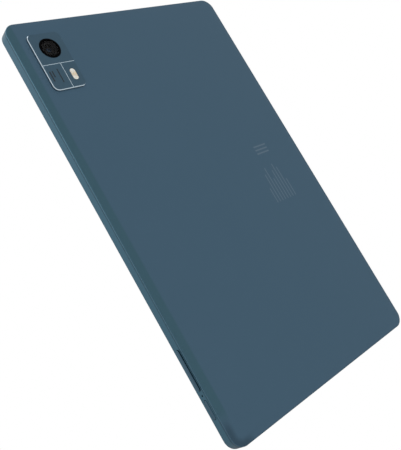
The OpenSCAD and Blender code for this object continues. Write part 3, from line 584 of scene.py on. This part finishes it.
def open_ends(obj):
    """Bridges the faces left at both ends of a piece into a hole."""
    edit(obj)
    for axis in (BELOW, ABOVE):
        toward = faces_toward(axis)
        flat = [face for face in bmesh.from_edit_mesh(obj.data).faces
                if toward(face) and len(face.verts) > 8]
        for face in flat:
            face.select_set(True)
    bpy.ops.mesh.bridge_edge_loops()
    done()


# %% [markdown]
# The ring's outer and inner edges are rounded in two steps each. A wall then goes in from the inner
# edge to the ledge that the cover glass sits on.

# %% Turn the ring
soft = 0.3 * mm
ring = disc("camera_ring_turned", lens, ring_r, ring_low.z + soft, ring_high.z, sides=128)
flat_w = ring_r - 2 * soft - glass_in
step_in(ring, BELOW, [(soft * 0.4, soft * 0.75), (soft * 0.6, soft * 0.25), (flat_w, 0),
                      (soft * 0.6, -soft * 0.25), (soft * 0.4, -soft * 0.75),
                      (0, -(glass_high.z - ring_low.z - soft)), (ring_lip, 0)])
step_in(ring, ABOVE, [(ring_r - glass_in + ring_lip, 0)])
open_ends(ring)
paint(ring, ring_black)
finish_piece(ring, BODY, "black_ring", "camera_ring")

# %% [markdown]
# The lens is optical glass, and its coating gives a blue reflection. It is drawn as a solid blue body
# with a blue specular tint and a thin clear coat, because nothing behind it has to show. Its blue,
# which shifts with the angle it is seen at, is a painted reflection of the coating. The cover glass
# is taken to be polished sapphire. It is drawn as a dark body that its alpha makes about half clear,
# so the ledges behind it show faintly. Its dark colour is partly the black inside of the camera and
# partly painted shade.

# %% Glass and its coatings
lens_glass, tree, shader = material("coated_optical_glass", metallic=0.0, ior=1.62)
# Painted reflection: the blue base colour, shifting with the viewing angle, stands in for the coating's
# glint.
facing = add(tree, "LayerWeight", {"Blend": 0.35})
painted_glint = add(tree, "MixRGB", {0: facing.outputs["Facing"], 1: linear("#6fb0ea"), 2: linear("#8a8fe0")})
tree.links.new(painted_glint.outputs[0], shader.inputs["Base Color"])
smudge = add(tree, "TexNoise", {"Vector": place_of(tree), "Scale": 900.0})
polish = add(tree, "MapRange", {"Value": smudge.outputs["Fac"], "To Min": 0.02, "To Max": 0.06})
tree.links.new(polish.outputs[0], shader.inputs["Roughness"])
shader.inputs["Specular Tint"].default_value = linear("#7fb4ff")
shader.inputs["Coat Weight"].default_value = 0.6
shader.inputs["Coat Roughness"].default_value = 0.03

camera_cover, tree, shader = material("sapphire_cover_glass", ior=1.7, alpha=0.55)
shader.inputs["Specular IOR Level"].default_value = 0.08
dust = add(tree, "TexNoise", {"Vector": place_of(tree), "Scale": 700.0, "Detail": 2.0})
# Dark tint: partly the black inside of the camera, partly painted shade of the deep lens opening.
tint = add(tree, "MixRGB", {0: dust.outputs["Fac"], 1: linear("#121213"), 2: linear("#151516")})
tree.links.new(tint.outputs[0], shader.inputs["Base Color"])
haze = add(tree, "MapRange", {"Value": dust.outputs["Fac"], "To Min": 0.02, "To Max": 0.05})
tree.links.new(haze.outputs[0], shader.inputs["Roughness"])

# %% [markdown]
# The cover glass is a ground disc with a fine bevel. The cone is stepped down ledge by ledge from the
# barrel's mouth to the lens, and it rides on the barrel, which moves when the camera focuses.

# %% The cover glass and the stepped cone
bevel = 0.08 * mm
window = disc("camera_window", lens, glass_in - 0.05 * mm, glass_low.z + bevel, glass_high.z)
step_in(window, BELOW, [(bevel, bevel)])
paint(window, camera_cover)
finish_piece(window, BODY, "camera_glass", "camera_glass")

barrel_r = (barrel_high.x - barrel_low.x) / 2
barrel_rim, lens_r, ledges = 0.25 * mm, 1.5 * mm, 5
ledge_w = (barrel_r - barrel_rim - lens_r) / ledges
ledge_h = (focus_low.z - barrel_low.z) / ledges
steps = [(barrel_rim, 0)] + [(0, -ledge_h), (ledge_w, 0)] * ledges
barrel = disc("focus_barrel_stepped", lens, barrel_r, barrel_low.z, barrel_high.z)
step_in(barrel, BELOW, steps)
step_in(barrel, ABOVE, [(barrel_r - lens_r, 0)])
open_ends(barrel)
paint(barrel, baffle_black)
finish_piece(barrel, "focus_barrel_body", "black_plastic", "focus_barrel")

# %% [markdown]
# The front lens is ground to a ball's curve. Its flat face is stepped in ring by ring, and each ring is
# raised by what the circle gives.

# %% Grind the focusing lens
lens_out = (focus_high.x - focus_low.x) / 2
curve_r = 3 * mm
sag = curve_r - math.sqrt(curve_r ** 2 - lens_out ** 2)
focus = disc("focus_lens_ground", lens, lens_out, focus_low.z + sag, focus_high.z, sides=64)
dome_steps, radius, dome = 8, lens_out, []
for step in range(1, dome_steps):
    inner = lens_out * (1 - step / dome_steps)
    rise = math.sqrt(curve_r ** 2 - inner ** 2) - math.sqrt(curve_r ** 2 - radius ** 2)
    dome.append((radius - inner, rise))
    radius = inner
step_in(focus, BELOW, dome)
paint(focus, lens_glass)
finish_piece(focus, "focus_barrel_body", "lens_glass", "focus_lens", angle=40)

# %% [markdown]
# ## The flash window
# The window is milky moulded plastic over two lamps, so a little light goes under its surface. Rings
# pressed into it spread the lamps' light. They are real ledges, 0.05 mm deep. The lamps' yellow
# phosphor gives the middle a warm tone, which is a colour blended in by distance from the middle.

# %% Mould the flash window
flash_plastic, tree, shader = material("moulded_diffuser_plastic", ior=1.49)
warm_part = 0.7                            # of the way from the middle to the round ends
flash_x, flash_half = (flash_low.x + flash_high.x) / 2, (flash_high.x - flash_low.x) / 2
mottle = add(tree, "TexNoise", {"Vector": place_of(tree), "Scale": 500.0, "Detail": 1.0})
milk = add(tree, "MixRGB", {0: mottle.outputs["Fac"], 1: linear("#f2f0ea"), 2: linear("#fffdf8")})
tree.links.new(milk.outputs[0], shader.inputs["Base Color"])
tree.links.new(add(tree, "MapRange", {"Value": mottle.outputs["Fac"], "To Min": 0.15,
                                      "To Max": 0.3}).outputs[0], shader.inputs["Roughness"])
shader.inputs["Subsurface Weight"].default_value = 0.15
shader.inputs["Subsurface Radius"].default_value = (1 * mm, 0.8 * mm, 0.5 * mm)
from_middle = add(tree, "VectorMath", {0: place_of(tree), 1: (flash_x, 0.0, 0.0)},
                  operation="SUBTRACT").outputs[0]
only_x = add(tree, "VectorMath", {0: from_middle, 1: (1.0, 0.0, 0.0)}, operation="MULTIPLY").outputs[0]
distance = add(tree, "VectorMath", {0: only_x}, operation="LENGTH").outputs["Value"]
warm = add(tree, "MapRange", {"Value": distance, "From Min": flash_half * warm_part, "From Max": 0.0},
           interpolation_type="SMOOTHSTEP").outputs[0]
shift_colour(flash_plastic, warm, "#ecd2a4", 0.55)

flash_soft, ring_deep = 0.12 * mm, 0.05 * mm
hair = 0.001 * mm                          # keeps two bevels of a round end from meeting
flash = slab("flash_window_moulded", (flash_low.x, flash_low.y, flash_low.z + flash_soft), flash_high,
             flash_r - hair)
border, slope_w, flat_between, ring_count = 0.2 * mm, 0.03 * mm, 0.12 * mm, 4
one_ring = [(slope_w, -ring_deep), (flat_between, 0), (slope_w, ring_deep), (flat_between, 0)]
rings = [(flash_soft, flash_soft), (border, 0)] + one_ring * ring_count
step_in(flash, BELOW, rings)
paint(flash, flash_plastic)
finish_piece(flash, BODY, "flash_diffuser", "flash_window")

# %% [markdown]
# ## The keys
# Each key is one machined bar with round ends, a crowned face and a flange behind it that keeps it in
# the frame. Small studs on the flange press the domes. Three closed shapes are made and then welded
# by a boolean union, which leaves one clean skin.

# %% Machine the keys
cap_w, crown, flange_x, flange_t, stud_r = 2.2 * mm, 0.22 * mm, 0.8 * mm, 0.5 * mm, 0.6 * mm
cap_sunk, stud_sunk, stud_drop = 0.1 * mm, 0.2 * mm, 0.4 * mm    # overlaps to weld; stud below the cap


def rod(name, start, end, radius, sides=32):
    """A cylinder between two points."""
    bpy.ops.object.select_all(action="DESELECT")
    start, end = Vector(start), Vector(end)
    turn = (end - start).to_track_quat("Z", "Y").to_euler()
    bpy.ops.mesh.primitive_cylinder_add(vertices=sides, radius=radius, depth=(end - start).length,
                                        location=(start + end) / 2, rotation=turn)
    return settle(name)


def machine_key(name, node, body, flange_y, studs):
    """A key with a crowned cap, a flange at flange_y and studs at these distances from its middle."""
    low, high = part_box(node)
    stud_z = high.z - cap_w / 2 - stud_drop
    key = slab(name, (low.x + flange_x, flange_y + cap_sunk, high.z - cap_w),
               (high.x - flange_x, high.y - crown, high.z), cap_w / 2 - hair, (0, 1, 0))
    quarter = [math.radians(90 * step / 5) for step in range(6)]
    step_in(key, (0, 1, 0), [(crown * (math.cos(a) - math.cos(b)), crown * (math.sin(b) - math.sin(a)))
                             for a, b in zip(quarter, quarter[1:])])
    weld(key, block("flange", (low.x, flange_y, low.z), (high.x, flange_y + flange_t, high.z)))
    middle = (low.x + high.x) / 2
    for x in studs:
        stud = rod("stud", (middle + x, low.y, stud_z), (middle + x, flange_y + stud_sunk, stud_z), stud_r)
        weld(key, stud)
    paint(key, key_blue)
    finish_piece(key, body, "key_paint", node)


inner_y = cover_high.y - wall
machine_key("volume_rocker_cap", "volume_rocker", "volume_rocker_body", inner_y - 1 * mm, (-7 * mm, 7 * mm))
machine_key("power_key_cap", "power_key", "power_key_body", inner_y - 0.6 * mm, (0,))

# %% [markdown]
# ## The screen
# The front is one sheet of hardened glass with a rounded edge. It is printed black from behind round
# the lit area, with a clear dot for the camera. The display is off, so the lit area is only a shade
# lighter than the print. The shader works out where it is from the real size of the lit area.

# %% Glass printed from behind
screen_glass, tree, shader = material("printed_cover_glass", ior=1.5, roughness=0.04)
lit_x, lit_y, dot_r, pupil_r = 225.6 * mm / 2, 135.4 * mm / 2, 1.6 * mm, 0.8 * mm
dot_y = (front_low.y + cover_high.y - wall) / 2
where = add(tree, "SeparateXYZ", {"Vector": place_of(tree)})

within = []
for axis, half in (("X", lit_x), ("Y", lit_y)):
    from_axis = add(tree, "Math", {0: where.outputs[axis]}, operation="ABSOLUTE").outputs[0]
    within.append(add(tree, "Math", {0: from_axis, 1: half}, operation="LESS_THAN").outputs[0])
lit = add(tree, "Math", {0: within[0], 1: within[1]}, operation="MULTIPLY").outputs[0]
from_dot = add(tree, "VectorMath", {0: place_of(tree), 1: (0.0, dot_y, cover_high.z)},
               operation="SUBTRACT").outputs[0]
flat_dot = add(tree, "VectorMath", {0: from_dot, 1: (1.0, 1.0, 0.0)}, operation="MULTIPLY").outputs[0]
dot_distance = add(tree, "VectorMath", {0: flat_dot}, operation="LENGTH").outputs["Value"]
cells = add(tree, "TexNoise", {"Vector": place_of(tree), "Scale": 400.0, "Detail": 1.0})
shades = [add(tree, "MixRGB", {0: cells.outputs["Fac"], 1: linear(low), 2: linear(high)}).outputs[0]
          for low, high in (("#050506", "#070708"), ("#121417", "#14171b"))]
shade = add(tree, "MixRGB", {0: lit, 1: shades[0], 2: shades[1]}).outputs[0]    # print, screen off
# The camera dot: its blue-grey is a painted glint off the coated lens, and its dark middle a painted shade
# in the lens's opening.
for radius, tone in ((dot_r, "#1b2230"), (pupil_r, "#05070d")):
    inside = add(tree, "Math", {0: dot_distance, 1: radius}, operation="LESS_THAN").outputs[0]
    shade = add(tree, "MixRGB", {0: inside, 1: shade, 2: linear(tone)}).outputs[0]
tree.links.new(shade, shader.inputs["Base Color"])
oil = add(tree, "TexNoise", {"Vector": place_of(tree), "Scale": 18.0, "Detail": 4.0})
tree.links.new(add(tree, "MapRange", {"Value": oil.outputs["Fac"], "To Min": 0.03,
                                      "To Max": 0.07}).outputs[0], shader.inputs["Roughness"])

# %% [markdown]
# The sheet has a thin upright side and then rounds over in eight steps of a quarter of an oval, as the
# ground edge of such a glass does.

# %% Grind the glass
glass_box_low, glass_box_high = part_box("cover_glass")
glass_side, glass_round, glass_corner = 0.25 * mm, 1.1 * mm, 6.5 * mm
glass_rise = glass_box_high.z - glass_box_low.z - glass_side
arc = [math.radians(90 * step / 8) for step in range(9)]
glass = slab("cover_glass_ground", glass_box_low,
             (glass_box_high.x, glass_box_high.y, glass_box_low.z + glass_side), glass_corner)
step_in(glass, ABOVE, [(glass_round * (math.cos(a) - math.cos(b)), glass_rise * (math.sin(b) - math.sin(a)))
                       for a, b in zip(arc, arc[1:])])
paint(glass, screen_glass)
finish_piece(glass, BODY, "screen_glass", "cover_glass", angle=40)

# %% [markdown]
# ## Finishes of the pieces inside
# These pieces keep their CAD shape. Each gets the finish of the material it is taken to be made of.
# Metals come first, all fully metallic, and told apart by colour and by how rough they are.


# %% Metals
def dress(made, *nodes):
    """Gives CAD nodes a finish."""
    for name in nodes:
        paint(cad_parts[name], made)
    print("  on", ", ".join(nodes))


# Pressed sheet, dull from the rolls.
dress(grained("stamped_aluminium_sheet", "#8b9194", "#a3a9ac", 1.0, 0.42, 0.25), "mid_plate",
      "speaker_drivers")
# Nickel plated dark, so that it throws no light about beside a lens.
dress(grained("dark_nickel_plate", "#3c3f42", "#4a4d51", 1.0, 0.3, 0.3), "rear_camera_housing",
      "front_camera")
# Steel sheet dipped in tin: whitish, and drawn out along the roll.
dress(grained("tinned_steel_sheet", "#a9adb1", "#bfc3c6", 1.0, 0.32, 0.3, stretch=(1, 0.1, 1)),
      "shield_cans", "microphones", "key_bracket", "dome_switches", "card_reader", "eject_rod",
      "eject_lever")
# Bright nickel over steel, a little warm.
dress(grained("nickel_plated_steel", "#b4b3ad", "#c9c8c2", 1.0, 0.22, 0.3), "usb_socket_shell")
# Hard gold on the springs that touch a plug.
dress(grained("hard_gold_plate", "#c79a3d", "#d9ad50", 1.0, 0.25, 0.2), "jack_contacts")
# Turned steel, darkened by its oil bath.
dress(grained("machined_steel", "#74797d", "#878c90", 1.0, 0.3, 0.2), "board_screws")

# %% [markdown]
# None of the plastics, foams and coatings is metallic. Their gloss tells them apart: film and nylon
# shine a little, resin is dull, and foam and tape hardly shine at all.

# %% Plastics, foams and coatings
# White reflector tray, moulded, slightly glossy.
dress(grained("moulded_white_polycarbonate", "#d3d6d8", "#e2e4e6", 0.0, 0.45, 0.4), "backlight")
# Closed-cell foam with a skin of glue: almost no gloss, and an open, uneven surface.
dress(grained("bonded_acrylic_foam", "#1a1a1b", "#2c2c2d", 0.0, 0.9, 0.3, lift=0.05), "glass_adhesive",
      "foam_strips")
# The display's outer film is smooth and nearly black when it is off.
dress(grained("dark_polariser_film", "#0b0d10", "#111418", 0.0, 0.12, 0.5, lift=0.001), "display_panel")
# Glass-filled nylon from an etched mould, satin.
dress(grained("moulded_black_nylon", "#1a1b1d", "#262729", 0.0, 0.5, 0.3), "usb_socket_tongue",
      "headphone_jack", "speaker_boxes")
# Filled epoxy, dull and finely speckled.
dress(grained("moulded_epoxy_resin", "#1c1d1f", "#2a2b2e", 0.0, 0.55, 0.15), "main_chips")
# Undyed nylon, ivory.
dress(grained("moulded_ivory_nylon", "#cdc7b6", "#dcd6c6", 0.0, 0.5, 0.3), "plug_connectors")
# Powder set in silicone, a flat yellow.
dress(grained("phosphor_coating", "#d9b636", "#ecca4e", 0.0, 0.7, 0.1), "flash_lamps")
# Stretch-release tape, white and matt.
dress(grained("pressure_sensitive_tape", "#e2e3e2", "#f0f0ee", 0.0, 0.75, 0.5), "battery_adhesive")

# %% [markdown]
# ## Boards, flat cables and mesh
# Copper tracks run under the green solder mask and inside the amber polyimide film, and they lift and
# lighten what lies over them. The speaker mesh is woven, but only its threads one way are drawn. All
# three are waves with a spacing that is usual for them: 0.25 mm on the film, 0.15 mm in the mesh, and
# about 0.4 mm on the boards, where they run diagonally.

# %% Patterned finishes
def lined(name, dark, light, spacing, direction, roughness, lift):
    """Parallel lines between two shades, spacing mm apart, or 1.41 times that on the diagonal."""
    made, tree, shader = material(name)
    wave_at_one = 0.314                     # metres between the waves of a scale of 1
    wave = add(tree, "TexWave", {"Vector": place_of(tree), "Scale": wave_at_one / (spacing * mm),
                                 "Distortion": 0.6, "Detail": 1.0}, bands_direction=direction)
    shade = add(tree, "MixRGB", {0: wave.outputs["Fac"], 1: linear(dark), 2: linear(light)})
    tree.links.new(shade.outputs[0], shader.inputs["Base Color"])
    rough = add(tree, "MapRange", {"Value": wave.outputs["Fac"], "To Min": roughness,
                                   "To Max": roughness + 0.1})
    tree.links.new(rough.outputs[0], shader.inputs["Roughness"])
    bump = add(tree, "Bump", {"Height": wave.outputs["Fac"], "Strength": 0.4, "Distance": lift * mm})
    tree.links.new(bump.outputs[0], shader.inputs["Normal"])
    return made


dress(lined("solder_mask_green", "#0f3d28", "#1c5a3c", 0.3, "DIAGONAL", 0.3, 0.02), "main_board",
      "port_board", "battery_board", "flash_board")
dress(lined("polyimide_film_cable", "#a8641c", "#c98a35", 0.25, "Y", 0.35, 0.01), "display_cable",
      "front_camera_cable", "rear_camera_board", "battery_cable", "link_cable", "key_cable", "antennas")
dress(lined("woven_polyester_mesh", "#0b0c0c", "#26282a", 0.15, "Y", 0.8, 0.05), "speaker_meshes")

# %% [markdown]
# The battery's cells are wrapped in aluminium foil laminated in dark nylon, so it shines partly as
# metal and partly as plastic. It creases about every centimetre. The rail takes its blue.

# %% Foil and rail
foil, tree, shader = material("laminated_battery_foil", metallic=0.6)
crease = add(tree, "TexVoronoi", {"Vector": place_of(tree), "Scale": 90.0}, feature="SMOOTH_F1")
shade = add(tree, "MixRGB", {0: crease.outputs["Distance"], 1: linear("#2b2e32"), 2: linear("#3c4045")})
tree.links.new(shade.outputs[0], shader.inputs["Base Color"])
tree.links.new(add(tree, "MapRange", {"Value": crease.outputs["Distance"], "To Min": 0.3,
                                      "To Max": 0.45}).outputs[0], shader.inputs["Roughness"])
wrinkle = add(tree, "Bump", {"Height": crease.outputs["Distance"], "Strength": 0.5, "Distance": 0.1 * mm})
tree.links.new(wrinkle.outputs[0], shader.inputs["Normal"])
dress(foil, "battery_cells")
dress(frame_blue, "side_frame", "card_tray")

# %% [markdown]
# ## Floor, light and camera
# The tablet is shown from below, as if it stood on its corner against a white wall. So the floor lies
# well under it. It is painted a pale matt grey with a fine speckle.

# %% Floor
floor_drop, floor_size = 0.5, 6.0
bpy.ops.object.select_all(action="DESELECT")
bpy.ops.mesh.primitive_plane_add(size=floor_size, location=(0, 0, -floor_drop))
floor = settle("studio_floor")
floor_paint, tree, shader = material("pale_floor_paint", roughness=0.8)
speck = add(tree, "TexNoise", {"Vector": place_of(tree), "Scale": 120.0, "Detail": 3.0})
shade = add(tree, "MixRGB", {0: speck.outputs["Fac"], 1: linear("#ebebe9"), 2: linear("#efefed")})
tree.links.new(shade.outputs[0], shader.inputs["Base Color"])
paint(floor, floor_paint)
print("floor", floor_drop, "m under the tablet")

# %% [markdown]
# A soft sky lights the tablet. It is brighter on the side of the keys and dimmer on the other side,
# which makes the cut edges bright on two sides only. It is also brighter toward the camera end, so
# the rail darkens slowly along its length. The camera itself sees an even white behind the tablet.

# %% Soft light
world = bpy.data.worlds.new("studio")
bpy.context.scene.world = world
world.use_nodes = True
tree = world.node_tree
direction = add(tree, "SeparateXYZ", {"Vector": add(tree, "TexCoord").outputs["Generated"]})
toward_keys = add(tree, "MapRange", {"Value": direction.outputs["Y"], "From Min": -0.55, "From Max": 0.35,
                                     "To Min": 0.4, "To Max": 1.25}, interpolation_type="SMOOTHSTEP")
toward_cameras = add(tree, "MapRange", {"Value": direction.outputs["X"], "From Min": -0.6, "From Max": 0.35,
                                        "To Min": 1.3, "To Max": 0.75}, interpolation_type="SMOOTHSTEP")
sky = add(tree, "Math", {0: toward_keys.outputs[0], 1: toward_cameras.outputs[0]}, operation="MULTIPLY")
seen = add(tree, "LightPath").outputs["Is Camera Ray"]
level = add(tree, "Mix", {0: seen, 2: sky.outputs[0], 3: 1.0})
background = tree.nodes["Background"]
tree.links.new(level.outputs[0], background.inputs["Strength"])
background.inputs["Color"].default_value = (1, 1, 1, 1)
print("sky", len(tree.nodes), "nodes")

# %% [markdown]
# The camera looks up at the back from beyond the keys. Its three directions are written out as the
# columns of its turn, because it also leans over. A slight shift moves the middle of the picture.

# %% Camera
bpy.ops.object.select_all(action="DESELECT")
bpy.ops.object.camera_add(location=(0.0621, 0.2664, -0.2735))
camera = bpy.context.object
camera.name = "camera"
right, up, back = (0.4945, -0.6968, -0.5196), (-0.8603, -0.3072, -0.4069), (0.1239, 0.6482, -0.7513)
turn = Matrix((right, up, back)).transposed().to_4x4()
camera.matrix_world = Matrix.Translation(camera.location) @ turn
camera.data.lens, camera.data.sensor_width, camera.data.clip_start = 53.91, 36, 0.01
camera.data.shift_x, camera.data.shift_y = 0.0016, 0.0064
bpy.context.scene.camera = camera
bpy.context.scene.view_settings.view_transform = "Standard"
print("camera", round(camera.location.length, 3), "m from the middle of the back")
